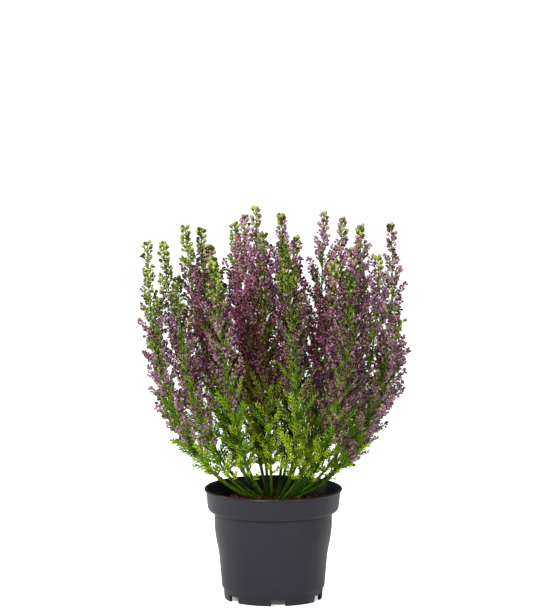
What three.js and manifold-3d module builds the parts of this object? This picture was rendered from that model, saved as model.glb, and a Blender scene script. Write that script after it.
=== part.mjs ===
// A heather in a plastic nursery pot. Millimetres, +Z up, with the origin on the
// floor under the middle of the pot and -Y towards the front.
// The shoots fan out from the soil like a fountain. Each is a green leafy stem and,
// standing on it, a flower spike: an axis with sprigs of round buds.
import * as THREE from "three";
import { mergeVertices } from "three/addons/utils/BufferGeometryUtils.js";
import Module from "manifold-3d";

const wasm = await Module();
wasm.setup();

// pot
const rimRadius = 60;
const potHeight = 97.5;
const wall = 1.5;
const bodyRadius = 51.3; // at the top of the tapered wall, below the band of the rim
const bandBottom = 76.4; // lower edge of the band of the rim
const footRadius = 42.4;
const footHeight = 6;
const floorThickness = 2;
const footThickness = 2.4;
const potSides = 32;
const notchCount = 6;
const notchWidth = 12.5;
const notchHeight = 5.5;
const firstNotchAngle = -84; // degrees from +X, a little right of the front
const drainHoleCount = 4;
const drainHoleRadius = 4;
const drainHoleRing = 24;

// soil
const soilSides = 16;
const soilRim = 80.5; // height of the soil along the wall
const soilCrown = 89; // height of the soil heaped up among the stems
const crownRadius = 33;
const gap = 0.35; // between solids that rest on each other
const holeBottom = 58;

// stems
const stemRadius = 1.6; // where a stem leaves the soil
const stemTopRadius = 1.3;
const rootHeight = 60; // lower end of the buried stem
const stemSides = 4;
const baseShare = 0.18; // how far from the middle a stem stands, as a share of its belly's distance
const leanShare = 0.61; // and how far out it leans while still low
const lowGuide = 108; // heights of the two points that guide a shoot's curve
const highGuide = 182;

// leafy sprigs
const leafySprigSpacing = 20; // along the stem
const lowestLeafySprig = 95; // height
const leafySprigLength = 26;
const leafySprigRadius = 1;
const leafySprigReach = 3.6; // how far its needles stand out from its middle
const leafySprigAngle = 0.7; // from the stem, in radians
const needleLength = 5.4;
const rootFaceLength = 3; // of the stem's faces that the sprigs grow from
const directionsTried = 6;

// flower spikes
const spikeSides = 3;
const spikeBaseRadius = 1.5;
const spikeTipRadius = 1.2;
const whorlSpacing = 7.7; // on average; whorls stand closer towards the tip
const longestSprig = 25;
const shortestSprig = 6.5;
const fullness = 1.7; // how soon below the tip the sprigs near their full length
const crowdedLength = 11; // shorter sprigs than this stand two to a whorl
const lowSprigAngle = 0.8; // from the axis at the foot of a spike, in radians
const highSprigAngle = 0.65; // and at its tip
const podRadius = 3.2;
const podLength = 7;
const neckRadius = 1;

const goldenAngle = THREE.MathUtils.degToRad(137.5);
const upwardBend = 0.22; // how far a sprig's end bends up, as a share of its length

// each shoot: [x, y] where it bellies out, [x, y, z] of its tip, and how long it is leafy
const shoots = [
  [[-110, -24], [-109, -18, 316], 66],
  [[-84, 30], [-96, 34, 307], 78],
  [[-64, 68], [-77, 72, 314], 84],
  [[-55, 6], [-63, 2, 324], 90],
  [[-40, -68], [-52, -82, 313], 104],
  [[-24, 77], [-34, 83, 315], 86],
  [[-22, 38], [-25, 42, 330], 98],
  [[-12, -16], [-15, -12, 346], 104],
  [[16, 77], [7, 81, 323], 88],
  [[30, -70], [8, -86, 329], 100],
  [[22, 14], [20, 20, 314], 100],
  [[42, 56], [44, 58, 329], 92],
  [[56, -12], [60, -12, 336], 88],
  [[78, 36], [76, 38, 321], 84],
  [[112, -28], [102, -34, 335], 66],
  [[74, 70], [70, 76, 294], 80],
  [[68, -72], [66, -82, 300], 62],
  [[-80, -60], [-83, -62, 294], 72],
  [[94, -2], [91, 4, 300], 74],
  [[114, 25], [106, 18, 245], 66],
  [[-115, 15], [-100, 12, 261], 68],
  [[-4, -48], [-9, -46, 329], 100],
  [[-47, 40], [-56, 44, 302], 90],
  [[48, -42], [53, -42, 304], 80],
];

const potColour = 0x3f3e46;
const soilColour = 0x3a2119;
const leafColour = 0x7fa23a;
const flowerColour = 0x7a4a72;

const up = new THREE.Vector3(0, 0, 1);

// seeded draw between 0 and 1
let seed = 20261;
function draw() {
  seed = (seed * 1664525 + 1013904223) % 4294967296;
  return seed / 4294967296;
}

function between(low, high) {
  return low + (high - low) * draw();
}

// solids

function toSolid(geometry) {
  geometry.deleteAttribute("normal");
  geometry.deleteAttribute("uv");
  const merged = mergeVertices(geometry, 1e-4);
  return new wasm.Manifold(new wasm.Mesh({
    numProp: 3,
    vertProperties: new Float32Array(merged.attributes.position.array),
    triVerts: new Uint32Array(merged.index.array),
  }));
}

function fromSolid(solid) {
  const { numProp, vertProperties, triVerts } = solid.getMesh();
  const geometry = new THREE.BufferGeometry();
  geometry.setAttribute("position", new THREE.BufferAttribute(vertProperties, numProp));
  return geometry.setIndex(new THREE.BufferAttribute(triVerts, 1));
}

function addPiece(name, geometry, colour, roughness) {
  geometry.computeVertexNormals();
  const material = new THREE.MeshStandardMaterial({ color: colour, roughness, metalness: 0 });
  const mesh = new THREE.Mesh(geometry, material);
  mesh.name = name;
  heather.add(mesh);
}

function turned(outline, sides) {
  const profile = outline.map(([radius, height]) => new THREE.Vector2(radius, height));
  return toSolid(new THREE.LatheGeometry(profile, sides).rotateX(Math.PI / 2));
}

// The skin of a plant, grown as one closed body. A limb is a ring of corners at each
// point of its path, each ring turned half a corner from the last, and it ends in a
// single corner where its last radius is 0. It starts on a cap, or on a three-cornered
// face of another limb, which it takes the place of.
class Skin {
  corners = [];
  faces = [];

  addFace(...corners) {
    this.faces.push(corners);
    return this.faces.length - 1;
  }

  grow(points, radii, sides, fromFace) {
    const side = new THREE.Vector3(1, 0, 0);
    let ring;
    if (fromFace === undefined) {
      ring = Array.from({ length: sides }, (_, j) => this.corners.length + j);
      for (let j = 2; j < sides; j++) this.addFace(ring[0], ring[j], ring[j - 1]);
    } else {
      ring = this.faces[fromFace];
      this.faces[fromFace] = null;
      side.subVectors(this.corners[ring[0]], points[0]);
    }
    const grown = [];
    points.forEach((point, k) => {
      const before = points[Math.max(k - 1, 0)];
      const after = points[Math.min(k + 1, points.length - 1)];
      const tangent = new THREE.Vector3().subVectors(after, before).normalize();
      side.addScaledVector(tangent, -side.dot(tangent)).normalize();
      const across = new THREE.Vector3().crossVectors(tangent, side);
      if (k === 0 && fromFace !== undefined) return;
      const count = radii[k] > 0 ? sides : 1;
      const next = [];
      for (let j = 0; j < count; j++) {
        const turn = ((j + k / 2) / sides) * 2 * Math.PI;
        next.push(this.corners.length);
        this.corners.push(point.clone()
          .addScaledVector(side, radii[k] * Math.cos(turn))
          .addScaledVector(across, radii[k] * Math.sin(turn)));
      }
      for (let j = 0; k > 0 && j < sides; j++) {
        const j2 = (j + 1) % sides;
        grown.push(this.addFace(ring[j], ring[j2], next[j % count]));
        if (count > 1) grown.push(this.addFace(ring[j2], next[j2], next[j]));
      }
      ring = next;
    });
    for (let j = 2; j < ring.length; j++) this.addFace(ring[0], ring[j - 1], ring[j]);
    return grown;
  }

  centre(face) {
    const [a, b, c] = this.faces[face].map((corner) => this.corners[corner]);
    return new THREE.Vector3().add(a).add(b).add(c).divideScalar(3);
  }

  normal(face) {
    const [a, b, c] = this.faces[face].map((corner) => this.corners[corner]);
    return new THREE.Triangle(a, b, c).getNormal(new THREE.Vector3());
  }

  // of the faces still free, the one that looks most towards this direction
  facing(faces, direction) {
    const free = faces.filter((face) => this.faces[face]);
    const turns = free.map((face) => this.normal(face).dot(direction));
    return free[turns.indexOf(Math.max(...turns))];
  }

  geometry() {
    const geometry = new THREE.BufferGeometry();
    const positions = this.corners.flatMap((corner) => corner.toArray());
    geometry.setAttribute("position", new THREE.Float32BufferAttribute(positions, 3));
    return geometry.setIndex(this.faces.filter(Boolean).flat());
  }
}

// pot and soil

// outside of the pot from the foot up to the lip, as radius and height
const potOutside = [
  [footRadius, 0],
  [43.2, 9],
  [44.5, 11],
  [46.9, 37],
  [49.2, 50],
  [50.9, 60],
  [bodyRadius, bandBottom],
  [55.4, bandBottom + 1.4],
  [57.1, bandBottom + 4.2],
  [58.7, 94.5],
  [rimRadius, 96],
  [rimRadius - 0.6, potHeight],
];
const innerFloor = footHeight + floorThickness;
const potInside = [
  [57.6, potHeight],
  [57.1, 94],
  [55.6, bandBottom + 5.6],
  [bodyRadius - wall, bandBottom],
  [50.8 - wall, 59],
  [43.2 - wall, innerFloor],
];

function buildPot() {
  const footInside = footRadius - footThickness;
  const body = turned([
    [0, footHeight],
    [footInside, footHeight],
    [footInside, 0],
    ...potOutside,
    ...potInside,
    [0, innerFloor],
  ], potSides);
  const cuts = [];
  for (let i = 0; i < notchCount; i++) {
    const angle = THREE.MathUtils.degToRad(firstNotchAngle + i * 360 / notchCount);
    const notch = new THREE.BoxGeometry(12, notchWidth, 2 * notchHeight);
    cuts.push(toSolid(notch.translate(42, 0, 0).rotateZ(angle)));
  }
  for (let i = 0; i < drainHoleCount; i++) {
    const hole = new THREE.CylinderGeometry(drainHoleRadius, drainHoleRadius, 12, 8);
    hole.rotateX(Math.PI / 2).translate(drainHoleRing, 0, footHeight);
    cuts.push(toSolid(hole.rotateZ((i + 0.5) * 2 * Math.PI / drainHoleCount)));
  }
  return fromSolid(body.subtract(wasm.Manifold.union(cuts)));
}

function buildSoil() {
  const body = turned([
    [0, innerFloor + gap],
    [43.2 - wall - gap, innerFloor + gap],
    [50.8 - wall - gap, 59],
    [bodyRadius - wall - gap, bandBottom],
    [53.7 - gap, soilRim],
    [46, soilRim + 2],
    [crownRadius, soilCrown - 1],
    [0, soilCrown],
  ], soilSides);
  const holes = curves.map((curve) => {
    const hole = new THREE.CylinderGeometry(stemRadius + gap, stemRadius + gap, 60, 6);
    return toSolid(hole.rotateX(Math.PI / 2).translate(curve.v0.x, curve.v0.y, holeBottom + 30));
  });
  return fromSolid(body.subtract(wasm.Manifold.union(holes)));
}

// shoots

// the way a shoot takes from the soil: outwards low over the rim, then upwards
function shootCurve([belly, tip]) {
  return new THREE.CubicBezierCurve3(
    new THREE.Vector3(belly[0] * baseShare, belly[1] * baseShare, soilCrown + 1),
    new THREE.Vector3(belly[0] * leanShare, belly[1] * leanShare, lowGuide),
    new THREE.Vector3(belly[0], belly[1], highGuide),
    new THREE.Vector3(...tip),
  );
}

const curves = shoots.map(shootCurve);
const traces = curves.map((curve) => curve.getSpacedPoints(60));
const flowerStarts = curves.map((curve, i) => curve.getUtoTmapping(0, shoots[i][2]));

function distanceTo(trace, point) {
  return Math.min(...trace.map((place) => place.distanceTo(point)));
}

// whether a limb of this thickness stays on its own shoot's side of the neighbours
function staysHome(points, thickness, owner) {
  return points.every((point) => {
    const own = distanceTo(traces[owner], point);
    return traces.every((trace, other) =>
      other === owner || distanceTo(trace, point) - own > 2 * thickness + gap);
  });
}

// balls of the limb's own thickness along its path, to test limbs against each other
function ballsAlong(points, thickness) {
  const path = new THREE.CatmullRomCurve3(points);
  return path.getPoints(8).map((centre) => ({ centre, thickness }));
}

function touches(balls, others) {
  return balls.some((a) => others.some((b) =>
    a.centre.distanceTo(b.centre) < a.thickness + b.thickness + 0.2));
}

function shareAtHeight(curve, height) {
  let low = 0;
  let high = 1;
  for (let k = 0; k < 24; k++) {
    const middle = (low + high) / 2;
    if (curve.getPoint(middle).z < height) low = middle;
    else high = middle;
  }
  return low;
}

function directionAround(along, around) {
  const outwards = new THREE.Vector3(1, 0, 0);
  outwards.addScaledVector(along, -outwards.x * along.x).normalize();
  return outwards.applyAxisAngle(along, around);
}

// the path of a sprig, which leaves the axis at an angle and bends upwards
function sprigPath(root, along, outwards, opening, length, shares) {
  const heading = along.clone().multiplyScalar(Math.cos(opening))
    .addScaledVector(outwards, Math.sin(opening));
  return shares.map((share) => root.clone()
    .addScaledVector(heading, length * share)
    .addScaledVector(up, upwardBend * length * share * share));
}

// the faces between two rings of a limb, in the order that grow returns them
function whorlFaces(grown, sides, whorl) {
  return grown.slice(whorl * 2 * sides, (whorl + 1) * 2 * sides);
}

function buildStem(curve, owner) {
  const end = flowerStarts[owner];
  const firstSprig = shareAtHeight(curve, lowestLeafySprig);
  const rootShare = rootFaceLength / curve.getLength();
  const leafySprigs = Math.round(shoots[owner][2] / leafySprigSpacing);
  const shares = [0, 0.5 * firstSprig];
  for (let i = 0; i < leafySprigs; i++) {
    const share = firstSprig + (end - firstSprig) * (i + 0.5 * draw()) / leafySprigs;
    shares.push(share, share + rootShare);
  }
  shares.push(end);
  const path = shares.map((share) => curve.getPoint(share));
  path.unshift(new THREE.Vector3(curve.v0.x, curve.v0.y, rootHeight));
  const radii = path.map((_, k) =>
    THREE.MathUtils.lerp(stemRadius, stemTopRadius, k / (path.length - 1)));
  const skin = new Skin();
  const grown = skin.grow(path, radii, stemSides);
  const top = curve.getPoint(end);
  const topTangent = curve.getTangent(end);
  const taken = [];
  const isFree = (points) => {
    const balls = ballsAlong(points, leafySprigReach);
    const overRim = points.every((point) =>
      point.z > potHeight + leafySprigReach || Math.hypot(point.x, point.y) < rimRadius - 10);
    const belowSpike = points.every((point) =>
      point.clone().sub(top).dot(topTangent) < -leafySprigReach - gap);
    const free = overRim && belowSpike && staysHome(points, leafySprigReach, owner)
      && !touches(balls, taken);
    if (free) taken.push(...balls);
    return free;
  };
  for (let i = 0; i < leafySprigs; i++) {
    const along = curve.getTangent(shares[2 + 2 * i]);
    const start = i * goldenAngle + between(0, 2 * Math.PI);
    // long sprigs are tried all round the stem first, then shorter ones
    for (let attempt = 0; attempt < 2 * directionsTried; attempt++) {
      const around = start + attempt * 2 * Math.PI / directionsTried;
      const outwards = directionAround(along, around);
      const face = skin.facing(whorlFaces(grown, stemSides, 3 + 2 * i), outwards);
      const length = leafySprigLength * (attempt < directionsTried ? 1 : 0.7);
      const points = sprigPath(skin.centre(face), along, outwards, leafySprigAngle, length,
        [0, 0.3, 0.48, 0.66, 0.84, 1]);
      if (isFree(points.slice(2))) {
        growLeafySprig(skin, points, face);
        break;
      }
    }
  }
  return skin.geometry();
}

// a slim leafy twig, with a needle on every face of its outer part
function growLeafySprig(skin, points, face) {
  const r = leafySprigRadius;
  const grown = skin.grow(points, [r, 0.8 * r, r, 0.9 * r, 0.8 * r, 0], 3, face);
  const along = points[points.length - 1].clone().sub(points[0]).normalize();
  grown.slice(6, 24).forEach((twigFace) => {
    const root = skin.centre(twigFace);
    const tip = root.clone()
      .addScaledVector(skin.normal(twigFace), 0.55 * needleLength)
      .addScaledVector(along, 0.8 * needleLength);
    skin.grow([root, tip], [r, 0], 3, twigFace);
  });
}

// where a sprig swells into buds and narrows between them: one bud at its tip and, where
// it is long enough, one behind that
function podsAlong(length) {
  const step = Math.min(0.5 * podLength, 0.4 * length);
  const shares = [1];
  const swell = [0];
  for (let back = step; back < 0.75 * length && shares.length < 5; back += step) {
    shares.unshift(1 - back / length);
    swell.unshift(shares.length % 2 ? neckRadius : podRadius);
  }
  return { shares: [0, ...shares], swell: [0, ...swell] };
}

function buildSpike(curve, owner) {
  const start = flowerStarts[owner];
  const whorls = Math.round((curve.getLength() - shoots[owner][2]) / whorlSpacing);
  const shareOf = (k) => 1 - (1 - k / whorls) ** 1.15;
  const path = [];
  for (let k = 0; k <= whorls; k++) {
    path.push(curve.getPoint(start + (1 - start) * shareOf(k)));
  }
  path[0].addScaledVector(curve.getTangent(start), gap);
  const radii = path.map((_, k) =>
    THREE.MathUtils.lerp(spikeBaseRadius, spikeTipRadius, k / whorls));
  radii[whorls - 1] = 0.8 * podRadius;
  radii[whorls] = 0;
  const skin = new Skin();
  const grown = skin.grow(path, radii, spikeSides);
  const taken = [];
  for (let k = 1; k < whorls - 2; k++) {
    const share = shareOf(k);
    const along = curve.getTangent(start + (1 - start) * share);
    const angle = THREE.MathUtils.lerp(lowSprigAngle, highSprigAngle, share);
    const fullLength = Math.max(shortestSprig,
      THREE.MathUtils.lerp(longestSprig, shortestSprig, (share / 0.9) ** fullness));
    const sprigs = fullLength > crowdedLength ? 1 : 2;
    for (let i = 0; i < sprigs; i++) {
      const around = k * goldenAngle + i * Math.PI + between(-0.3, 0.3);
      const outwards = directionAround(along, around);
      const face = skin.facing(whorlFaces(grown, spikeSides, k), outwards);
      const full = fullLength * between(0.85, 1.15);
      for (const part of [1, 0.8, 0.65, 0.5]) {
        const length = full * part;
        const { shares, swell } = podsAlong(length);
        const points = sprigPath(skin.centre(face), along, outwards, angle, length, shares);
        const balls = ballsAlong(points.slice(1), podRadius);
        if (staysHome(points.slice(1), podRadius, owner) && !touches(balls, taken)) {
          taken.push(...balls);
          skin.grow(points, swell, 3, face);
          break;
        }
      }
    }
  }
  return skin.geometry();
}

const heather = new THREE.Group();
addPiece("nursery_pot", buildPot(), potColour, 0.55);
addPiece("potting_soil", buildSoil(), soilColour, 0.95);
curves.forEach((curve, i) => {
  const label = String(i + 1).padStart(2, "0");
  addPiece(`leafy_stem_${label}`, buildStem(curve, i), leafColour, 0.6);
  addPiece(`flower_spike_${label}`, buildSpike(curve, i), flowerColour, 0.7);
});

export default heather;
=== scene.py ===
import math
import random

import bmesh
import bpy
import numpy as np
from mathutils import Matrix, Vector, noise


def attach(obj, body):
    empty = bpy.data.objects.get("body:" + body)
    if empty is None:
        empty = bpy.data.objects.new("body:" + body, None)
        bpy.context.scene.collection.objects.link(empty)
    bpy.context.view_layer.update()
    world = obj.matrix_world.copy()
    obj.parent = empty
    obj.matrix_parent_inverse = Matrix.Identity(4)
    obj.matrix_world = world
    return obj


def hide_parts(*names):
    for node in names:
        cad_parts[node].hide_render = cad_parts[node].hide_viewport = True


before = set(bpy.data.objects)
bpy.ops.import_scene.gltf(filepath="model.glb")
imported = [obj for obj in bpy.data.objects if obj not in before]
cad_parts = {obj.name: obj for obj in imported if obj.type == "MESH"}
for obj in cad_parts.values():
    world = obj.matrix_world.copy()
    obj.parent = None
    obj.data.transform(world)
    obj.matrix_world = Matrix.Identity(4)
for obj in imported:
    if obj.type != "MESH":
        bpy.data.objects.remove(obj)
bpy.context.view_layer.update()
mm = 0.001  # everything below is worked out in millimetres, and scaled as its mesh is made
goldenAngle = math.radians(137.5)


# camera and light

cameraSettings = {
    "elevation": 10.2,  # degrees above the horizon
    "distance": 20.0,  # metres, far off, so the lines stay nearly parallel
    "frameHeight": 0.53016,  # metres that the upright side of the frame spans
    "aim": (0.0037, 0, 0.2588),
    "sensor": 36,
}

lightSettings = {
    "worldLight": 0.08,  # the world looks white, but lights the plant only this much
    "aim": (0, 0, 0.2),
    "softboxes": [  # name, place, size across and up in metres, power in watts
        ("keyBox", (-0.7, -1.6, 1.3), (0.5, 0.5), 33),
        ("topBox", (0.1, -0.2, 1.9), (0.9, 0.9), 13),
        ("fillBox", (1.2, -1.3, 0.7), (0.5, 1.2), 9),
        ("leftStrip", (-1.3, 0.1, 0.5), (0.3, 1.4), 6),
    ],
}

cameraData = bpy.data.cameras.new("portrait")
camera = bpy.data.objects.new("portrait", cameraData)
bpy.context.scene.collection.objects.link(camera)
bpy.context.scene.camera = camera
tilt = math.radians(cameraSettings["elevation"])
aim = Vector(cameraSettings["aim"])
towardsCamera = Vector((0, -math.cos(tilt), math.sin(tilt)))
camera.location = aim + towardsCamera * cameraSettings["distance"]
camera.rotation_euler = (math.pi / 2 - tilt, 0, 0)
cameraData.sensor_width = cameraSettings["sensor"]
cameraData.lens = cameraSettings["sensor"] * cameraSettings["distance"] / cameraSettings["frameHeight"]
cameraData.clip_end = 100

bpy.context.scene.view_settings.view_transform = "Standard"

world = bpy.data.worlds.new("paleStudio")
world.use_nodes = True
worldTree = world.node_tree
worldLight = worldTree.nodes["Background"]
worldLight.inputs["Color"].default_value = (1, 1, 1, 1)
worldSight = worldTree.nodes.new("ShaderNodeLightPath")
worldSeen = worldTree.nodes.new("ShaderNodeMapRange")
worldSeen.inputs["To Min"].default_value = lightSettings["worldLight"]
worldTree.links.new(worldSight.outputs["Is Camera Ray"], worldSeen.inputs["Value"])
worldTree.links.new(worldSeen.outputs["Result"], worldLight.inputs["Strength"])
bpy.context.scene.world = world

for name, place, size, power in lightSettings["softboxes"]:
    data = bpy.data.lights.new(name, "AREA")
    data.shape = "RECTANGLE"
    data.size, data.size_y = size
    data.energy = power
    box = bpy.data.objects.new(name, data)
    box.location = place
    box.rotation_euler = (Vector(lightSettings["aim"]) - Vector(place)).to_track_quat("-Z", "Y").to_euler()
    bpy.context.scene.collection.objects.link(box)
print("camera and lights ready")


# materials

mixIn = (0, 6, 7)  # factor, first and second colour of a colour mix, whose sockets share their names
mixOut = 2


def newMaterial(name, roughness, specular):
    material = bpy.data.materials.new(name)
    material.use_nodes = True
    shader = material.node_tree.nodes["Principled BSDF"]
    shader.inputs["Roughness"].default_value = roughness
    shader.inputs["Specular IOR Level"].default_value = specular
    return material, shader


def addNode(tree, kind, **values):
    node = tree.nodes.new(kind)
    for key, value in values.items():
        if hasattr(node, key):
            setattr(node, key, value)
        else:
            node.inputs[key.replace("_", " ")].default_value = value
    return node


def startGroup(name, inputs, outputs):
    group = bpy.data.node_groups.new(name, "ShaderNodeTree")
    for label, kind, value in inputs:
        socket = group.interface.new_socket(name=label, in_out="INPUT", socket_type=kind)
        socket.default_value = value
    for label, kind in outputs:
        group.interface.new_socket(name=label, in_out="OUTPUT", socket_type=kind)
    return group, group.nodes.new("NodeGroupInput"), group.nodes.new("NodeGroupOutput")


def buildGrain():  # a fine grain and broad patches, each as a value round a half
    group, given, result = startGroup(
        "fineGrain",
        [("Scale", "NodeSocketFloat", 300.0), ("Patch Scale", "NodeSocketFloat", 20.0)],
        [("Grain", "NodeSocketFloat"), ("Patches", "NodeSocketFloat")])
    place = addNode(group, "ShaderNodeTexCoord")
    fine = addNode(group, "ShaderNodeTexNoise", Detail=3.0)
    broad = addNode(group, "ShaderNodeTexNoise", Detail=2.0)
    for texture, scale in ((fine, "Scale"), (broad, "Patch Scale")):
        group.links.new(place.outputs["Object"], texture.inputs["Vector"])
        group.links.new(given.outputs[scale], texture.inputs["Scale"])
    group.links.new(fine.outputs["Fac"], result.inputs["Grain"])
    group.links.new(broad.outputs["Fac"], result.inputs["Patches"])
    return group


# plant colour from a dark and a light shade of three hues, by three attributes of the mesh: tone is how light
# it is; green is 0 for flower, 1 for leaf and from 1.5 to 2.5 for stem; depth is its share of the painted
# shade tint
def buildTissue():
    group, given, result = startGroup(
        "tissueColour",
        [("Dark", "NodeSocketColor", (0, 0, 0, 1)), ("Light", "NodeSocketColor", (1, 1, 1, 1)),
         ("Dark Green", "NodeSocketColor", (0, 0, 0, 1)), ("Light Green", "NodeSocketColor", (1, 1, 1, 1)),
         ("Dark Stem", "NodeSocketColor", (0, 0, 0, 1)), ("Light Stem", "NodeSocketColor", (1, 1, 1, 1)),
         ("Painted Shade Tint", "NodeSocketColor", (1, 1, 1, 1)),
         ("Speckle", "NodeSocketFloat", 0.0)],
        [("Color", "NodeSocketColor")])
    place = addNode(group, "ShaderNodeTexCoord")
    grain = addNode(group, "ShaderNodeTexNoise", Detail=1.0, Scale=700.0)
    group.links.new(place.outputs["Object"], grain.inputs["Vector"])
    centred = addNode(group, "ShaderNodeMath", operation="SUBTRACT")
    group.links.new(grain.outputs["Fac"], centred.inputs[0])
    centred.inputs[1].default_value = 0.5
    speckle = addNode(group, "ShaderNodeMath", operation="MULTIPLY")
    group.links.new(centred.outputs["Value"], speckle.inputs[0])
    group.links.new(given.outputs["Speckle"], speckle.inputs[1])
    shades = {}
    for label, sign in (("tone", 1), ("green", -0.6)):
        kept = addNode(group, "ShaderNodeAttribute", attribute_name=label)
        shifted = addNode(group, "ShaderNodeMath", operation="MULTIPLY_ADD", use_clamp=True)
        group.links.new(speckle.outputs["Value"], shifted.inputs[0])
        shifted.inputs[1].default_value = sign
        group.links.new(kept.outputs["Fac"], shifted.inputs[2])
        shades[label] = shifted.outputs["Value"]
    stemShare = addNode(group, "ShaderNodeMath", operation="SUBTRACT", use_clamp=True)
    group.links.new(kept.outputs["Fac"], stemShare.inputs[0])
    stemShare.inputs[1].default_value = 1.5
    mixes = []
    for dark, light in (("Dark", "Light"), ("Dark Green", "Light Green"), ("Dark Stem", "Light Stem")):
        mix = addNode(group, "ShaderNodeMix", data_type="RGBA")
        group.links.new(shades["tone"], mix.inputs[mixIn[0]])
        group.links.new(given.outputs[dark], mix.inputs[mixIn[1]])
        group.links.new(given.outputs[light], mix.inputs[mixIn[2]])
        mixes.append(mix)
    colour = mixes[0].outputs[mixOut]
    for share, mix in ((shades["green"], mixes[1]), (stemShare.outputs["Value"], mixes[2])):
        both = addNode(group, "ShaderNodeMix", data_type="RGBA")
        group.links.new(share, both.inputs[mixIn[0]])
        group.links.new(colour, both.inputs[mixIn[1]])
        group.links.new(mix.outputs[mixOut], both.inputs[mixIn[2]])
        colour = both.outputs[mixOut]
    depth = addNode(group, "ShaderNodeAttribute", attribute_name="depth")
    deep = addNode(group, "ShaderNodeMix", data_type="RGBA", blend_type="MULTIPLY")
    group.links.new(depth.outputs["Fac"], deep.inputs[mixIn[0]])
    group.links.new(colour, deep.inputs[mixIn[1]])
    group.links.new(given.outputs["Painted Shade Tint"], deep.inputs[mixIn[2]])
    group.links.new(deep.outputs[mixOut], result.inputs["Color"])
    return group


grainGroup = buildGrain()
tissueGroup = buildTissue()


def makeTissue(name, roughness, specular, speckle, colours):
    material, shader = newMaterial(name, roughness, specular)
    tree = material.node_tree
    tint = addNode(tree, "ShaderNodeGroup", node_tree=tissueGroup, Speckle=speckle)
    for label, colour in colours.items():
        tint.inputs[label].default_value = (*colour, 1)
    tree.links.new(tint.outputs["Color"], shader.inputs["Base Color"])
    return material, shader


# meshes

# collects the points and faces of one piece, with how light and how green each point is; points deep inside
# the plant are darker and browner by painted shade
class Gatherer:
    def __init__(self, shading=0, paintedBrowning=0):
        self.points, self.faces, self.tones, self.greens, self.depths = [], [], [], [], []
        self.shading, self.paintedBrowning = shading, paintedBrowning
        self.count = 0

    def add(self, points, faces, tone, green):
        points = np.asarray(points, dtype=np.float64).reshape(-1, 3)
        self.faces.append(np.asarray(faces) + self.count)
        self.points.append(points)
        shade = shadeAt(points)
        self.tones.append(np.clip(np.broadcast_to(tone, len(points)) - self.shading * shade, 0, 1))
        self.greens.append(np.broadcast_to(green, len(points)) - self.paintedBrowning * shade)
        self.depths.append(shade)
        self.count += len(points)

    def build(self, name, material):
        mesh = bpy.data.meshes.new(name)
        points = np.concatenate(self.points) * mm
        faces = np.concatenate(self.faces)
        mesh.vertices.add(len(points))
        mesh.vertices.foreach_set("co", points.ravel())
        mesh.loops.add(faces.size)
        mesh.loops.foreach_set("vertex_index", faces.ravel())
        mesh.polygons.add(len(faces))
        mesh.polygons.foreach_set("loop_start", np.arange(0, faces.size, 3))
        mesh.update(calc_edges=True)
        mesh.polygons.foreach_set("use_smooth", np.full(len(faces), True))
        for label, values in (("tone", self.tones), ("green", self.greens), ("depth", self.depths)):
            layer = mesh.attributes.new(label, "FLOAT", "POINT")
            layer.data.foreach_set("value", np.concatenate(values))
        mesh.materials.append(material)
        piece = bpy.data.objects.new(name, mesh)
        bpy.context.scene.collection.objects.link(piece)
        return piece


def unit(vector):
    return vector / np.linalg.norm(vector)


def acrossOf(direction):  # any unit vector square to this direction
    helper = np.array((1.0, 0, 0)) if abs(direction[0]) < 0.8 else np.array((0, 1.0, 0))
    return unit(helper - direction * helper.dot(direction))


def ringFaces(rings, sides):  # triangles between rings of corners, lowest ring first
    faces = []
    for k in range(rings - 1):
        for j in range(sides):
            a, b = k * sides + j, k * sides + (j + 1) % sides
            faces += [(a, b, a + sides), (b, b + sides, a + sides)]
    return faces


def tube(path, radii, sides):  # a tube with both ends closed by a fan
    path = np.asarray(path, dtype=np.float64)
    angles = np.arange(sides) * 2 * math.pi / sides
    side = acrossOf(unit(path[1] - path[0]))
    points = []
    for k, place in enumerate(path):
        along = unit(path[min(k + 1, len(path) - 1)] - path[max(k - 1, 0)])
        side = unit(side - along * side.dot(along))
        other = np.cross(along, side)
        points.append(place + radii[k] * (np.outer(np.cos(angles), side) + np.outer(np.sin(angles), other)))
    faces = ringFaces(len(path), sides)
    last = (len(path) - 1) * sides
    for j in range(1, sides - 1):
        faces += [(0, j + 1, j), (last, last + j, last + j + 1)]
    return np.concatenate(points), faces


def turnedTemplate(rings, sides):  # rings of height, radius, radius of every other corner and lightness
    points, lights, faces, first = [], [], [], []
    for height, radius, otherRadius, light in rings:
        first.append(len(points))
        for j in range(sides if radius else 1):  # a ring of no radius is a point
            angle = j * 2 * math.pi / sides
            r = otherRadius if j % 2 else radius
            points.append((r * math.cos(angle), r * math.sin(angle), height))
            lights.append(light)
    for k in range(len(rings) - 1):
        low, high = first[k], first[k + 1]
        for j in range(sides):
            after = (j + 1) % sides
            if rings[k + 1][1]:
                faces.append((low + j * bool(rings[k][1]), high + after, high + j))
            if rings[k][1]:
                faces.append((low + j, low + after, high + after * bool(rings[k + 1][1])))
    return np.array(points), np.array(faces), np.array(lights)


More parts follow.
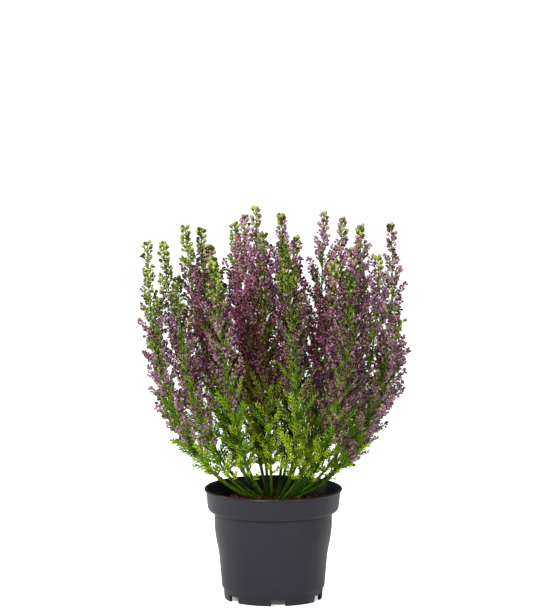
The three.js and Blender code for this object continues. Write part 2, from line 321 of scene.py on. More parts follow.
# one template at many places, its +Z along each direction
def placeCopies(template, places, directions, sizes, turns):
    points, faces = template[:2]
    places, directions = np.array(places), np.array(directions)
    directions /= np.linalg.norm(directions, axis=1)[:, None]
    helper = np.where(np.abs(directions[:, :1]) < 0.8, (1.0, 0, 0), (0, 1.0, 0))
    side = helper - directions * np.sum(helper * directions, axis=1)[:, None]
    side /= np.linalg.norm(side, axis=1)[:, None]
    other = np.cross(directions, side)
    turns = np.array(turns)[:, None]
    x = side * np.cos(turns) + other * np.sin(turns)
    y = np.cross(directions, x)
    sizes = np.array(sizes).reshape(len(places), -1)
    wide, tall = sizes[:, :1, None], sizes[:, -1:, None]
    moved = (places[:, None] + wide * (points[None, :, :1] * x[:, None] + points[None, :, 1:2] * y[:, None])
             + tall * points[None, :, 2:] * directions[:, None])
    offsets = np.arange(len(places))[:, None, None] * len(points)
    return moved.reshape(-1, 3), (faces[None] + offsets).reshape(-1, 3)


def addCopies(skin, template, rows):
    places, directions, sizes, turns, tones, greens = zip(*rows)
    points, faces = placeCopies(template, places, directions, sizes, turns)
    each = len(template[0])
    heights = template[0][:, 2]
    rise = np.tile((heights - heights.min()) / np.ptp(heights), len(rows))  # 0 at the base, 1 at the end
    tone = np.repeat(tones, each) * np.tile(template[2], len(rows))
    green = np.repeat(greens, each) + 0.9 * (1 - rise) ** 2.5
    skin.add(points, faces, tone, green)


def blend(pair, share):
    return pair[0] + (pair[1] - pair[0]) * share


# shoots, as in the solids: outwards low over the rim, then upwards

shootSettings = {
    "soilTop": 90,  # where a stem leaves the soil
    "rootHeight": 60,
    "baseShare": 0.18,  # of the belly's reach, where the stem leaves the soil
    "leanShare": 0.61,
    "lowGuide": 108,
    "highGuide": 182,
    "measures": 200,  # steps in which its length is measured
    "traces": 40,  # and those in which its distance from other shoots is
}

# belly: x and y where it leans out; tip: x, y and z; leafy: length from the soil up that has leaves;
# greenShare: of its spike, from the tip down; fullness: how long the spike's sprigs are; hang: how far they
# go on down the leafy length; light: how much lighter its flowers are, partly their own tone and partly
# painted light and shade
shoots = [
    ((-110, -24), (-109, -18, 316), 66, 0.3, 0.72, 6, 0.06),
    ((-84, 30), (-96, 34, 307), 78, 0.3, 0.8, 0, 0.16),
    ((-64, 68), (-77, 72, 314), 84, 0.25, 0.9, 0, 0.25),
    ((-55, 6), (-63, 2, 324), 90, 0.12, 1.0, 0, 0.05),
    ((-40, -68), (-52, -82, 313), 108, 0.32, 1.0, 44, 0),
    ((-24, 77), (-34, 83, 315), 86, 0.28, 1.1, 14, 0.2),
    ((-22, 38), (-25, 42, 330), 98, 0.02, 1.1, 34, 0.6),
    ((-12, -16), (-15, -12, 346), 104, 0.05, 1.0, 40, 0.55),
    ((16, 77), (7, 81, 323), 88, 0.04, 1.1, 14, 0.15),
    ((30, -70), (8, -86, 329), 100, 0.34, 1.0, 36, -0.38),
    ((22, 14), (20, 20, 314), 100, 0.03, 0.62, 16, 0.3),
    ((42, 56), (44, 58, 329), 92, 0.04, 1.0, 0, 0.45),
    ((56, -12), (60, -12, 336), 88, 0.03, 1.1, 0, 0.3),
    ((78, 36), (76, 38, 321), 84, 0.08, 1.25, 16, 0.35),
    ((112, -28), (102, -34, 335), 66, 0.0, 0.95, 26, -0.06),
    ((74, 70), (70, 76, 294), 80, 0.15, 1.0, 10, 0.4),
    ((68, -72), (66, -82, 300), 84, 0.12, 1.2, 12, -0.47),
    ((-80, -60), (-83, -62, 294), 72, 0.22, 0.9, 10, -0.32),
    ((94, -2), (91, 4, 300), 74, 0.08, 1.2, 24, 0.5),
    ((114, 25), (106, 18, 245), 66, 0.2, 0.9, 30, 0.25),
    ((-115, 15), (-100, 12, 261), 68, 0.2, 0.75, 0, -0.05),
    ((-4, -48), (-9, -46, 329), 100, 0.06, 1.0, 42, -0.12),
    ((-47, 40), (-56, 44, 302), 90, 0.3, 1.1, 14, 0.2),
    ((48, -42), (53, -42, 304), 86, 0.1, 0.8, 6, 0.42),
]


depthSettings = {
    "reach": (112, 90),  # of the plant's outside from its middle along X and Y, at its widest
    "heights": (90, 130, 180, 230),
    "spread": (0.15, 0.42, 0.8, 1.0),  # share of that reach at these heights
    "limit": 0.85,  # share of the reach from which the painted shade deepens inwards
    "edge": 0.4,  # share of the reach over which it does
    "top": 325,  # height from which the painted shade deepens downwards
    "fade": 90,  # and the length over which it does
}


class Shoot:
    def __init__(self, belly, tip, leafy, greenShare, fullness, hang, light):
        s = shootSettings
        self.leafy, self.hang = leafy, hang
        self.greenShare, self.fullness, self.light = greenShare, fullness, light
        belly = np.array(belly, dtype=float)
        self.guides = np.array([
            (*belly * s["baseShare"], s["soilTop"]), (*belly * s["leanShare"], s["lowGuide"]),
            (*belly, s["highGuide"]), tip])
        steps = s["measures"]
        places = [self.at(k / steps) for k in range(steps + 1)]
        walked = np.linalg.norm(np.diff(places, axis=0), axis=1).cumsum()
        self.length = walked[-1]
        self.flowerStart = (np.searchsorted(walked, leafy) + 1) / steps

    def at(self, t):
        u = 1 - t
        return np.array((u ** 3, 3 * u * u * t, 3 * u * t * t, t ** 3)) @ self.guides

    def along(self, t):
        u = 1 - t
        return unit(np.array((u * u, 2 * u * t, t * t)) @ np.diff(self.guides, axis=0))


growing = [Shoot(*row) for row in shoots]
traceSteps = shootSettings["traces"]
traces = np.array([[shoot.at(k / traceSteps) for k in range(traceSteps + 1)] for shoot in growing])


def staysHome(point, owner, room):  # whether a point lies on its own shoot's side of the neighbours
    nearest = np.linalg.norm(traces - point, axis=2).min(axis=1)
    own = nearest[owner]
    nearest[owner] = np.inf
    return nearest.min() - own > room


def shadeAt(places):  # how deep places lie inside the plant, from 0 at its outside to 1, which sets the painted shade there
    d = depthSettings
    x, y, z = np.asarray(places).T
    reach = np.hypot(x / d["reach"][0], y / d["reach"][1]) / np.interp(z, d["heights"], d["spread"])
    return np.clip((d["limit"] - reach) / d["edge"], 0, 1) * np.clip((d["top"] - z) / d["fade"], 0, 1)


def sprigPath(root, along, outwards, opening, length, steps, bend):
    heading = along * math.cos(opening) + outwards * math.sin(opening)
    shares = np.linspace(0, 1, steps + 1)[:, None]
    return root + heading * length * shares + np.array((0, 0, bend * length)) * shares ** 2


def outwardsAt(along, around):
    side = acrossOf(along)
    return side * math.cos(around) + np.cross(along, side) * math.sin(around)


def pointOn(path, share):
    place = share * (len(path) - 1)
    k = min(int(place), len(path) - 2)
    return path[k] + (path[k + 1] - path[k]) * (place - k)


# flower spikes

spikeSettings = {
    "axisRadius": (1.2, 0.35),
    "axisSteps": 24,
    "axisTone": (0.3, 0.75),
    "axisGreen": 2.5,
    "spacing": (3.7, 2.6),  # between sprigs along the axis, at the foot and below the spire
    "spire": 16,  # length of the slender end, where each sprig is one stalked bud
    "spireSpacing": 1.0,
    "spireOpening": 0.25,  # how much wider its sprigs open
    "longest": 29,
    "shortest": 3.4,
    "filling": 4,  # how soon below the spire the sprigs reach their full length
    "foot": 32,  # length at the foot of the spike over which the sprigs grow to their full length
    "footShare": 0.6,
    "opening": 0.62,  # angle from the axis
    "bend": 0.2,
    "tries": 6,  # turns that a sprig may take, and shorter each time, to stay clear of the other shoots
    "room": -3,  # how far the sprigs reach beyond the middle between two shoots
    "twigRadius": (0.55, 0.34),
    "twigTone": (0.45, 1.0),
    "twigGreen": (0.75, 1.9),
    "budSpacing": 2.0,
    "budPart": 0.6,  # outer part of a sprig that carries buds
    "budWidth": (0.95, 1.4),
    "whorl": 3,  # buds round each place on a sprig
    "budDistance": (1.2, 3.0),
    "endBud": 1.1,  # size of the last bud on a sprig
    "spireBud": 1.6,
    "openShare": (0.75, 0.1),  # of the buds, those that have opened, at the foot and at the tip
    "budding": (0.05, 0.5),  # share of the lowest sprigs with stalked buds, on a full and a slender spike
    "stalkedBuds": 4,
    "stalkedWidth": (1.4, 1.9),
    "budTone": 0.42,  # how light the buds are
    "spikeSpread": 0.12,  # how much that differs between spikes, between sprigs and between buds
    "sprigSpread": 0.26,
    "budSpread": 0.6,
    "tipGreen": 0.85,
    "greenFade": 0.1,  # share of the spike over which the green tip turns to flower
    "mixedGreen": 0.2,  # how green a bud may be below it
    "strayGreen": 0.9,  # and how green a few of them may be
    "strayShare": 0.14,
    "leaves": (1.4, 0.08),  # needles for each length of sprig, at the foot and at the tip
    "leafySprig": 1.2,  # and on a leafy sprig
    "needleLength": (4.2, 6.8),
    "leafyFrom": 60,  # leafy length from which the foot of a spike has leafy sprigs
    "leafyRange": 110,  # how much longer it is where all of them are leafy
    "leafyFoot": 50,  # length over which the sprigs turn from leafy to flowering
    "leafyHang": 130,  # and the same for those that hang down beside the leafy length
    "innerFrom": 90,  # leafy length from which a spike counts as an inner one
    "footRange": 28,  # how much more or less it is where the next two hold in full
    "paintedFootShade": 0.45,  # painted shade: how much darker the flowers are at the foot of an inner spike
    "paintedFootLight": 0.55,  # and painted light: how much lighter at the foot of an outer one
    "footReach": 80,  # length over which either fades
    "shading": 0.6,  # painted shade: how much darker they are deep inside the plant
    "paintedBrowning": 0.6,  # and how much browner, also painted shade
}

budTemplate = turnedTemplate(
    [(-1.2, 0, 0, 0.4), (-0.1, 0.85, 0.85, 0.8), (0.8, 0.95, 0.8, 1.1), (1.4, 0, 0, 1.15)], 5)
# dark inside the bell, painted shade, and light at the petal rims, partly their pale edges and partly painted
# highlight
openTemplate = turnedTemplate(
    [(-1.3, 0, 0, 0.3), (0.0, 0.5, 0.5, 0.7), (1.2, 1.35, 0.5, 1.45), (0.5, 0, 0, 0.35)], 6)
needleTemplate = turnedTemplate([(0, 0.5, 0.5, 0.6), (0.35, 1.0, 1.0, 1.0), (1.0, 0, 0, 1.2)], 3)


def growSpike(shoot, owner, dice):
    s = spikeSettings
    skin = Gatherer(s["shading"], s["paintedBrowning"])
    start = shoot.flowerStart
    span = shoot.length - shoot.leafy
    path = [shoot.at(blend((start, 1), k / s["axisSteps"])) for k in range(s["axisSteps"] + 1)]
    radii = np.linspace(*s["axisRadius"], len(path))
    skin.add(*tube(path, radii, 6), dice.uniform(*s["axisTone"]), s["axisGreen"])
    buds = {True: [], False: []}  # those that have opened, and those that haven't
    needles = []
    walked, turn = 1.0 - shoot.hang, dice.uniform(0, 6)
    # the shoot's light is partly its flowers' own tone and partly painted light and shade
    spikeTone = shoot.light + dice.uniform(-s["spikeSpread"], s["spikeSpread"])
    # painted shade at the foot of an inner spike, painted light at the foot of an outer one
    inner = (shoot.leafy - s["innerFrom"]) / s["footRange"]
    paintedFootShade = s["paintedFootShade" if inner > 0 else "paintedFootLight"] * inner

    def addBud(place, direction, fromTip, sprigTone, size=1.0):
        green = (shoot.greenShare - fromTip) / s["greenFade"] + dice.uniform(0, 1)
        green = min(max(green, 0), 1) * s["tipGreen"]
        greenest = s["strayGreen" if dice.random() < s["strayShare"] else "mixedGreen"]
        green = max(green, dice.uniform(0, greenest))
        opened = dice.random() < blend(s["openShare"], 1 - fromTip) * (1 - green)
        tone = s["budTone"] + sprigTone + dice.uniform(-s["budSpread"], s["budSpread"])
        width = dice.uniform(*s["budWidth"]) * size
        buds[opened].append((place, direction, (width, width * dice.uniform(0.9, 1.15)),
                             dice.uniform(0, 6.28), min(max(tone, 0), 1), green))

    def addStalkedBuds(twig, heading, twigGreen):
        for k in range(s["stalkedBuds"]):
            place = pointOn(twig, 1 - 0.2 * k)
            out = outwardsAt(heading, k * 2.2 + turn)
            stalk = np.array((place, place + (heading + out) * (2.6 if k else 1)))
            skin.add(*tube(stalk, (0.32, 0.3), 3), 0.5, twigGreen)
            width = dice.uniform(*s["stalkedWidth"])
            buds[False].append((stalk[1], heading + 0.6 * out, (width, width), turn,
                                dice.uniform(0.05, 0.4), dice.uniform(0.3, 1.0)))

    def addWhorls(twig, heading, nodes, fromTip, sprigTone):
        for k in range(1, nodes + 1):
            place = pointOn(twig, 1 - s["budPart"] * k / nodes)
            for side in range(s["whorl"]):
                tilt = dice.uniform(0.6, 1.1)
                out = outwardsAt(heading, k * 1.6 + side * math.pi * 2 / s["whorl"] + dice.uniform(-0.6, 0.6))
                direction = heading * math.cos(tilt) + out * math.sin(tilt)
                addBud(place + direction * dice.uniform(*s["budDistance"]), direction, fromTip, sprigTone)

    def addNeedles(twig, heading, leaves, part, twigGreen):
        for k in range(leaves):
            place = pointOn(twig, 0.06 + part * k / leaves)
            out = outwardsAt(heading, k * 2.4 + turn)
            needles.append((place, out * 0.7 + heading, (0.45, dice.uniform(*s["needleLength"])), 0,
                            dice.uniform(0.3, 1.1), twigGreen + dice.uniform(-0.2, 0.2)))

    while walked < span:
        share = walked / span
        t = blend((start, 1), share)
        along, root = shoot.along(t), shoot.at(t)
        turn += goldenAngle + dice.uniform(-0.4, 0.4)
        left = span - walked
        inSpire = left < s["spire"]
        sprigTone = spikeTone + dice.uniform(-s["sprigSpread"], s["sprigSpread"])
        sprigTone -= paintedFootShade * max(0, 1 - walked / s["footReach"])
        opening = s["opening"] + dice.uniform(-0.15, 0.15)
        if inSpire:
            length = s["shortest"] * min(1, 0.3 + left / 5) + 0.1 * left + dice.uniform(-0.6, 0.8)
            opening += s["spireOpening"]
        else:
            grown = 1 - (max(walked, 0) / (span - s["spire"])) ** s["filling"]
            length = blend((s["shortest"] + 2.6, s["longest"]), grown) * dice.uniform(0.7, 1.1)
            rising = min(1, (walked + shoot.hang) / s["foot"])
            length *= blend((s["footShare"], 1), rising) * shoot.fullness
        for attempt in range(s["tries"]):
            outwards = outwardsAt(along, turn + 0.5 * attempt)
            twig = sprigPath(root, along, outwards, opening, length * (1 - 0.1 * attempt), 4, s["bend"])
            if staysHome(twig[-1], owner, s["room"]):
                length *= 1 - 0.1 * attempt
                break
        heading = unit(twig[-1] - twig[-2])
        leafChance = (shoot.leafy - s["leafyFrom"]) / s["leafyRange"]
        leafChance -= walked / s["leafyFoot" if walked > 0 else "leafyHang"]
        leafy = dice.random() < leafChance
        slender = 2.5 * (1 - shoot.fullness)
        budding = not inSpire and dice.random() < blend(s["budding"], slender) * (1 - share)
        twigGreen = dice.uniform(*s["twigGreen"])
        skin.add(*tube(twig, np.linspace(*s["twigRadius"], 5), 3), dice.uniform(*s["twigTone"]), twigGreen)
        if budding:
            addStalkedBuds(twig, heading, twigGreen)
        else:
            addBud(twig[-1], heading, 1 - share, sprigTone, s["spireBud" if inSpire else "endBud"])
            if not inSpire and not leafy:
                nodes = max(1, round(length * s["budPart"] / s["budSpacing"]))
                addWhorls(twig, heading, nodes, 1 - share, sprigTone)
        leaves = round(length * (s["leafySprig"] if leafy else blend(s["leaves"], share)))
        addNeedles(twig, heading, leaves, 0.9 if leafy else 0.6, twigGreen)
        walked += s["spireSpacing"] if inSpire else blend(s["spacing"], share)
    addBud(path[-1] - shoot.along(1), shoot.along(1), 0, spikeTone)
    for opened, template in ((False, budTemplate), (True, openTemplate)):
        addCopies(skin, template, buds[opened])
    addCopies(skin, needleTemplate, needles)
    return skin


budMaterial, _ = makeTissue("mauveBuds", 0.5, 0.09, 2.2, {
    "Dark": (0.042, 0.006, 0.014), "Light": (0.62, 0.235, 0.53),
    "Dark Green": (0.014, 0.042, 0.0005), "Light Green": (0.44, 0.58, 0.055),
    "Dark Stem": (0.006, 0.04, 0.002), "Light Stem": (0.1, 0.36, 0.015), "Painted Shade Tint": (1, 0.76, 0.5)})
leafMaterial, _ = makeTissue("heatherGreen", 0.45, 0.07, 0.8, {
    "Dark": (0.022, 0.024, 0.001), "Light": (0.34, 0.32, 0.02),
    "Dark Green": (0.007, 0.042, 0), "Light Green": (0.465, 0.67, 0.024),
    "Dark Stem": (0.005, 0.03, 0.002), "Light Stem": (0.115, 0.33, 0.02), "Painted Shade Tint": (1, 0.82, 0.7)})

for i, shoot in enumerate(growing):
    label = f"{i + 1:02d}"
    spike = growSpike(shoot, i, random.Random(100 + i)).build(f"flowerSpike_{label}", budMaterial)
    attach(spike, "root")
    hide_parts(f"flower_spike_{label}")
print("flower spikes grown")


# leafy stems

leafySettings = {
    "stemRadius": (1.4, 1.05),
    "stemSteps": 16,
    "stemTone": (0.1, 0.75),
    "stemGreen": (1.6, 2.5),
    "sprigSpacing": (1.8, 5.0),  # on a stem in the middle of the plant, and on one at its outside
    "outside": 90,  # how far out the belly of an outer stem is
    "crowding": 0.95,  # below one, the sprigs stand closer together higher up
    "longest": 31,
    "lowTrim": 0.66,  # how much shorter the lowest sprigs are on the outermost stems
    "outerTrim": 0.75,  # how much shorter the lowest ones on those stems are if they point away from the pot
    "opening": (0.9, 0.6),  # angle from the stem, at the lowest sprig and at the highest
    "bend": 0.12,
    "tries": 8,  # turns that a sprig may take, and shorter each time, before it is left out
    "room": (-16, -8),  # how far they reach beyond the middle between two, on an inner and an outer stem
    "lowest": (118, 107),  # height of the first sprig, in the middle and at the outside
    "rimRadius": 52,
    "rimClearance": 102,  # sprigs outside the rim stay above this height
    "twigRadius": (0.6, 0.25),
    "twigGreen": 1.8,
    "needleSpacing": 2.3,
    "needleLength": (5.5, 8.2),
    "needleWidth": 0.6,
    "scaleSpacing": 2.6,  # between the short needles that lie along the stem
    "scalesFrom": 0.42,  # share of the stem below which it is bare
    "scaleLength": (3.5, 5.5),
    "scaleWidth": 0.45,
    "sprigTone": (-0.2, 0.8),
    "paintedLowLight": 0.32,  # painted light: how much lighter the lowest sprigs are
    "hues": (1.0, 1.2, 1.45, 0.7, 1.8, 2.1),  # of which the lowest sprigs have one of the first three
    # painted shade deep inside the plant: how much darker, and how much browner
    "shading": 0.38,
    "paintedBrowning": 0.1,
}


def growLeafyStem(shoot, owner, dice):
    s = leafySettings
    skin = Gatherer(s["shading"], s["paintedBrowning"])
    end = shoot.flowerStart
    path = [np.array((*shoot.at(0)[:2], shootSettings["rootHeight"]))]
    path += [shoot.at(end * k / s["stemSteps"]) for k in range(s["stemSteps"] + 1)]
    light, hue = dice.uniform(*s["stemTone"]), dice.uniform(*s["stemGreen"])
    skin.add(*tube(path, np.linspace(*s["stemRadius"], len(path)), 8),
             np.linspace(0.4 * light, light, len(path)).repeat(8), hue)
    needles = []
    scales = int(shoot.leafy / s["scaleSpacing"])
    for k in range(scales):
        t = end * blend((s["scalesFrom"], 1), k / scales)
        along = shoot.along(t)
        out = outwardsAt(along, k * goldenAngle)
        size = (s["scaleWidth"], dice.uniform(*s["scaleLength"]))
        needles.append((shoot.at(t) + 0.8 * out, along + 0.35 * out, size, 0,
                        light + dice.uniform(-0.2, 0.4), hue - dice.uniform(0, 0.6)))
    outer = min(1, np.hypot(*shoot.guides[2][:2]) / s["outside"])
    first = next(k / 100 for k in range(100) if shoot.at(k / 100)[2] > blend(s["lowest"], outer))
    sprigs = round(shoot.leafy / blend(s["sprigSpacing"], outer))
    for i in range(sprigs):
        share = ((i + dice.random() * 0.7) / sprigs) ** s["crowding"]
        t = blend((first, end * 1.04), share)
        along, root = shoot.along(t), shoot.at(t)
        for attempt in range(s["tries"]):
            outwards = outwardsAt(along, i * goldenAngle + attempt + dice.uniform(-0.3, 0.3))
            length = s["longest"] * dice.uniform(0.6, 1.0) * (1 - 0.07 * attempt)
            length *= blend((1 - s["lowTrim"] * outer, 1), share)
            length *= 1 - s["outerTrim"] * outer * max(0, outwards[:2] @ unit(root[:2])) * (1 - share)
            opening = blend(s["opening"], share) + dice.uniform(-0.12, 0.12)
            twig = sprigPath(root, along, outwards, opening, length, 5, s["bend"])
            low = (twig[:, 2] < s["rimClearance"]) & (np.hypot(twig[:, 0], twig[:, 1]) > s["rimRadius"])
            if not low.any() and staysHome(twig[-1], owner, blend(s["room"], outer)):
                break
        else:
            continue
        tone = dice.uniform(*s["sprigTone"]) + s["paintedLowLight"] * (1 - share)
        hue = dice.choice(s["hues"] if share > 0.4 else s["hues"][:3])
        skin.add(*tube(twig, np.linspace(*s["twigRadius"], 6), 4), tone + 0.2, s["twigGreen"])
        count = int(length / s["needleSpacing"])
        heading = unit(twig[-1] - twig[0])
        for k in range(1, count + 1):
            part = k / count
            place = pointOn(twig, part)
            for side in range(3):
                around = (k % 2) * math.pi / 3 + side * math.pi * 2 / 3
                out = outwardsAt(heading, around + dice.uniform(-0.3, 0.3))
                size = dice.uniform(*s["needleLength"]) * (1 - 0.45 * part ** 3)
                needles.append((place, out * 0.7 + heading, (s["needleWidth"], size), 0,
                                tone + dice.uniform(-0.3, 0.25) + 0.4 * part, hue))
    addCopies(skin, needleTemplate, needles)
    return skin


for i, shoot in enumerate(growing):
    label = f"{i + 1:02d}"
    stem = growLeafyStem(shoot, i, random.Random(300 + i)).build(f"leafyStem_{label}", leafMaterial)
    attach(stem, "root")
    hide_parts(f"leafy_stem_{label}")
print("leafy stems grown")


# pot

potSettings = {
    "sides": 160,
    "sharpFrom": 35,  # degrees between two faces
    "outside": [(42.0, 0), (42.5, 0.6), (43.2, 8.6), (43.6, 9.6), (44.5, 10.8), (44.7, 12), (46.9, 37),
                (47.9, 44), (49.4, 51), (50.5, 58), (51.1, 64), (51.3, 76.2), (53.3, 76.5), (55.4, 77.8),
                (56.4, 79), (57.1, 80.8), (58.5, 93.8), (58.8, 94.9), (59.6, 95.4), (60, 96),
                (60, 96.5), (59.7, 97), (59.2, 97.35), (58.7, 97.5)],
    "inside": [(58.3, 97.5), (57.7, 96.6), (57.1, 94), (55.6, 82), (49.8, 76.4), (49.3, 59), (41.7, 8)],
    "floor": 8,
    "footInside": 40,
    "footHeight": 6,
    "notches": 6,
    "notchWidth": 12.5,
    "notchHeight": 5.5,
    "notchRing": 42,
    "firstNotch": -84,  # degrees
    "drainHoles": 4,
    "drainSides": 24,
    "drainRadius": 4,
    "drainRing": 24,
    "cutLength": 12,  # of the blocks that cut them, through the wall or the floor
}


def latheMesh(profile, sides):  # profile starts and ends on the axis
    points, faces = [], []
    for radius, height in profile:
        for j in range(sides):
            angle = j * 2 * math.pi / sides
            points.append((radius * mm * math.cos(angle), radius * mm * math.sin(angle), height * mm))
    for k in range(len(profile) - 1):
        for j in range(sides):
            a, b = k * sides + j, k * sides + (j + 1) % sides
            faces.append((a, b, b + sides, a + sides))
    mesh = bpy.data.meshes.new("turned")
    mesh.from_pydata(points, [], faces)
    work = bmesh.new()
    work.from_mesh(mesh)
    bmesh.ops.remove_doubles(work, verts=work.verts, dist=1e-7)
    bmesh.ops.recalc_face_normals(work, faces=work.faces)
    work.to_mesh(mesh)
    work.free()
    return mesh


def buildPotCuts():
    p = potSettings
    work = bmesh.new()
    for i in range(p["notches"]):
        turn = Matrix.Rotation(math.radians(p["firstNotch"] + i * 360 / p["notches"]), 4, "Z")
        size = Matrix.Diagonal((p["cutLength"] * mm, p["notchWidth"] * mm, 2 * p["notchHeight"] * mm, 1))
        moved = Matrix.Translation((p["notchRing"] * mm, 0, 0))
        bmesh.ops.create_cube(work, size=1, matrix=turn @ moved @ size)
    for i in range(p["drainHoles"]):
        turn = Matrix.Rotation((i + 0.5) * 2 * math.pi / p["drainHoles"], 4, "Z")
        moved = Matrix.Translation((p["drainRing"] * mm, 0, p["footHeight"] * mm))
        bmesh.ops.create_cone(
            work, cap_ends=True, segments=p["drainSides"], radius1=p["drainRadius"] * mm,
            radius2=p["drainRadius"] * mm, depth=p["cutLength"] * mm, matrix=turn @ moved)
    mesh = bpy.data.meshes.new("potCuts")
    work.to_mesh(mesh)
    work.free()
    cuts = bpy.data.objects.new("potCuts", mesh)
    bpy.context.scene.collection.objects.link(cuts)
    return cuts


def buildPot():
    p = potSettings
    profile = [(0, p["footHeight"]), (p["footInside"], p["footHeight"]), (p["footInside"], 0),
               *p["outside"], *p["inside"], (0, p["floor"])]
    pot = bpy.data.objects.new("plasticPot", latheMesh(profile, p["sides"]))
    bpy.context.scene.collection.objects.link(pot)
    cuts = buildPotCuts()
    cut = pot.modifiers.new("cut", "BOOLEAN")
    cut.operation = "DIFFERENCE"
    cut.object = cuts
    evaluated = pot.evaluated_get(bpy.context.evaluated_depsgraph_get())
    mesh = bpy.data.meshes.new_from_object(evaluated)
    pot.modifiers.clear()
    pot.data = mesh
    bpy.data.objects.remove(cuts)
    for face in mesh.polygons:
        face.use_smooth = True
    mesh.set_sharp_from_angle(angle=math.radians(p["sharpFrom"]))
    return pot


potMaterial, potShader = newMaterial("slatePlastic", 0.4, 0.3)
potShader.inputs["Coat Weight"].default_value = 0.25
potShader.inputs["Coat Roughness"].default_value = 0.16
potTree = potMaterial.node_tree
potGrain = addNode(potTree, "ShaderNodeGroup", node_tree=grainGroup, Scale=900, Patch_Scale=28)
potColour = addNode(potTree, "ShaderNodeMix", data_type="RGBA")
potColour.inputs[mixIn[1]].default_value = (0.012, 0.012, 0.0155, 1)
potColour.inputs[mixIn[2]].default_value = (0.018, 0.0145, 0.028, 1)
potTree.links.new(potGrain.outputs["Patches"], potColour.inputs[mixIn[0]])
potTree.links.new(potColour.outputs[mixOut], potShader.inputs["Base Color"])
potBump = addNode(potTree, "ShaderNodeBump", Strength=0.08, Distance=0.0002)
potTree.links.new(potGrain.outputs["Grain"], potBump.inputs["Height"])
potTree.links.new(potBump.outputs["Normal"], potShader.inputs["Normal"])

pot = buildPot()
pot.data.materials.clear()
pot.data.materials.append(potMaterial)
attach(pot, "root")
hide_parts("nursery_pot")
print("pot turned")


# soil

soilSettings = {
    "rings": 34,
    "spokes": 110,
    "edge": (53.2, 80.5),  # radius and height
    "crown": 89,  # height in the middle
    "crownRadius": 33,
    "lumps": 1.3,  # height
    "lumpScale": 0.11,
    "lumpFade": 6,  # length over which they grow flat towards the wall
    "crumbs": 900,
    "crumbSize": (0.5, 1.9),
    "crumbMargin": 1.5,  # clear of the wall
    "bottom": [(49.3, 76.2), (48.9, 59), (41.3, 8.35)],  # radius and height down inside the pot
}


def soilHeight(x, y):
    s = soilSettings
    r = math.hypot(x, y)
    edge, low = s["edge"]
    rise = min(max((edge - r) / (edge - s["crownRadius"]), 0), 1)
    height = low + (s["crown"] - low) * (rise * rise * (3 - 2 * rise))
    near = Vector((x * s["lumpScale"], y * s["lumpScale"], 3.7))
    fade = min(1, (edge - r) / s["lumpFade"])
    return height + fade * s["lumps"] * (noise.noise(near) + 0.6 * noise.noise(near * 3.1))


def buildSoil(dice):
    s = soilSettings
    skin = Gatherer()
    n = s["spokes"]
    circle = [(math.cos(j * 2 * math.pi / n), math.sin(j * 2 * math.pi / n)) for j in range(n)]
    points = [(0, 0, soilHeight(0, 0))]
    for k in range(1, s["rings"] + 1):
        r = s["edge"][0] * k / s["rings"]
        points += [(r * x, r * y, soilHeight(r * x, r * y)) for x, y in circle]
    for radius, height in s["bottom"]:
        points += [(radius * x, radius * y, height) for x, y in circle]
    rings = s["rings"] + len(s["bottom"])
    faces = [(0, 1 + j, 1 + (j + 1) % n) for j in range(n)]
    for a, b, c in ringFaces(rings, n):
        faces.append((a + 1, c + 1, b + 1))
    last = 1 + (rings - 1) * n
    faces += [(last, last + j + 1, last + j) for j in range(1, n - 1)]
    skin.add(points, faces, 0.3, 0.0)
    crumb = turnedTemplate(
        [(-1.0, 0, 0, 0.6), (-0.3, 0.95, 0.8, 0.9), (0.4, 0.85, 1.0, 1), (1.0, 0, 0, 1)], 5)
    rows = []
    for _ in range(s["crumbs"]):
        r = (s["edge"][0] - s["crumbMargin"]) * math.sqrt(dice.random())
        angle = dice.uniform(0, 2 * math.pi)
        x, y = r * math.cos(angle), r * math.sin(angle)
        size = dice.uniform(*s["crumbSize"]) * dice.uniform(0.4, 1)
        place = (x, y, soilHeight(x, y) + 0.3 * size)
        direction = [dice.uniform(-1, 1) for _ in range(3)]
        rows.append((place, direction, (size, size * dice.uniform(0.7, 1.5)), dice.uniform(0, 6),
                     dice.random() ** 1.5, 0.0))
    addCopies(skin, crumb, rows)
    return skin


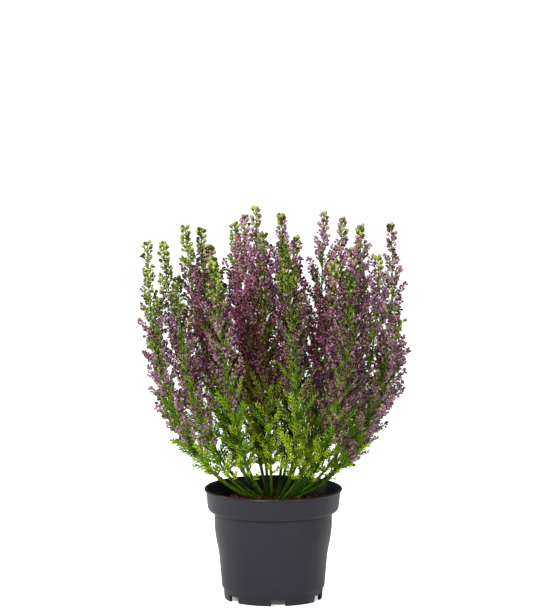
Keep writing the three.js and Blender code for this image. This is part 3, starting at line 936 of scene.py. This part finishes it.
soilDark, soilLight = (0.02, 0.006, 0.004), (0.24, 0.075, 0.045)
soilMaterial, soilShader = makeTissue("darkCompost", 0.9, 0.1, 0, {
    "Dark": soilDark, "Light": soilLight, "Dark Green": soilDark, "Light Green": soilLight})
soilTree = soilMaterial.node_tree
soilGrain = addNode(soilTree, "ShaderNodeGroup", node_tree=grainGroup, Scale=700)
soilBump = addNode(soilTree, "ShaderNodeBump", Strength=0.6, Distance=0.0006)
soilTree.links.new(soilGrain.outputs["Grain"], soilBump.inputs["Height"])
soilTree.links.new(soilBump.outputs["Normal"], soilShader.inputs["Normal"])

soil = buildSoil(random.Random(5)).build("potSoil", soilMaterial)
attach(soil, "root")
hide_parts("potting_soil")
print("soil filled")


# floor, which looks bright all round the pot and dim beneath it as painted shadow, and lights nothing by that

floorSettings = {
    "reach": 40,
    "glow": 1.0,
    "glowFrom": 0.03,  # metres from the pot's axis
    "glowTo": 0.044,
    # glow under the pot, a painted shadow there
    "paintedShadowGlow": 0.08,
}

floorMaterial, floorShader = newMaterial("paleFloor", 0.8, 0.1)
floorShader.inputs["Base Color"].default_value = (0.93, 0.93, 0.93, 1)
floorShader.inputs["Emission Color"].default_value = (1, 1, 1, 1)
floorTree = floorMaterial.node_tree
floorPlace = addNode(floorTree, "ShaderNodeTexCoord")
floorDistance = addNode(floorTree, "ShaderNodeVectorMath", operation="LENGTH")
floorGlow = addNode(
    floorTree, "ShaderNodeMapRange", From_Min=floorSettings["glowFrom"], From_Max=floorSettings["glowTo"],
    To_Min=floorSettings["paintedShadowGlow"], To_Max=floorSettings["glow"])
floorTree.links.new(floorPlace.outputs["Object"], floorDistance.inputs[0])
floorTree.links.new(floorDistance.outputs["Value"], floorGlow.inputs["Value"])
floorSight = addNode(floorTree, "ShaderNodeLightPath")
floorSeen = addNode(floorTree, "ShaderNodeMath", operation="MULTIPLY")
floorTree.links.new(floorGlow.outputs["Result"], floorSeen.inputs[0])
floorTree.links.new(floorSight.outputs["Is Camera Ray"], floorSeen.inputs[1])
floorTree.links.new(floorSeen.outputs["Value"], floorShader.inputs["Emission Strength"])
floorMesh = bpy.data.meshes.new("paleFloor")
floorCorners = [(x * floorSettings["reach"], y * floorSettings["reach"], 0)
                for x, y in ((-1, -1), (1, -1), (1, 1), (-1, 1))]
floorMesh.from_pydata(floorCorners, [], [(0, 1, 2, 3)])
floorMesh.materials.append(floorMaterial)
floor = bpy.data.objects.new("paleFloor", floorMesh)
bpy.context.scene.collection.objects.link(floor)

print("sizes written", sum(len(m.polygons) for m in bpy.data.meshes), "faces")
